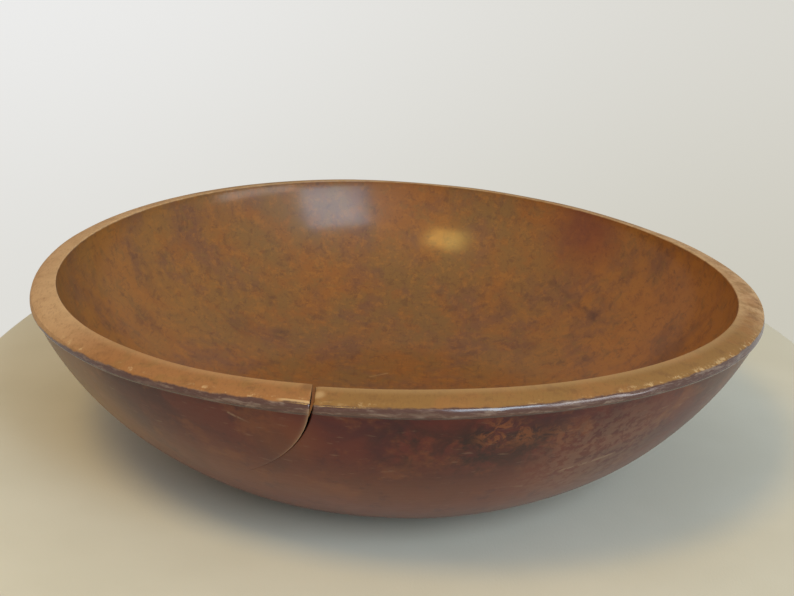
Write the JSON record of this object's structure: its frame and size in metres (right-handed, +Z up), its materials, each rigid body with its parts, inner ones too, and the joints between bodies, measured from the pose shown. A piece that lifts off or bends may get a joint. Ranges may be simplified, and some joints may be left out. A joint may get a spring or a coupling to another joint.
{
  "type": "wooden bowl",
  "caption": "Wide shallow lathe-turned wooden bowl with a flat rim, a rounded band under the rim and a drying split through rim and wall; holds dough, bread or fruit.",
  "frame": {"origin": "centre of the bowl's box in X and Y, on the surface that the foot stands on", "axes": "+Y along the wood's grain, the bowl's long axis, with the split at the -Y end; +X across the grain; +Z up, out of the bowl's mouth"},
  "size_m": [0.385, 0.401, 0.1032],
  "materials": {
    "bowl_wood": "old oiled hardwood, satin, dark red-brown outside, olive-brown inside, worn pale at the rim"
  },
  "bodies": {
    "root": {"bowl": "bowl_wood"}
  },
  "joints": []
}
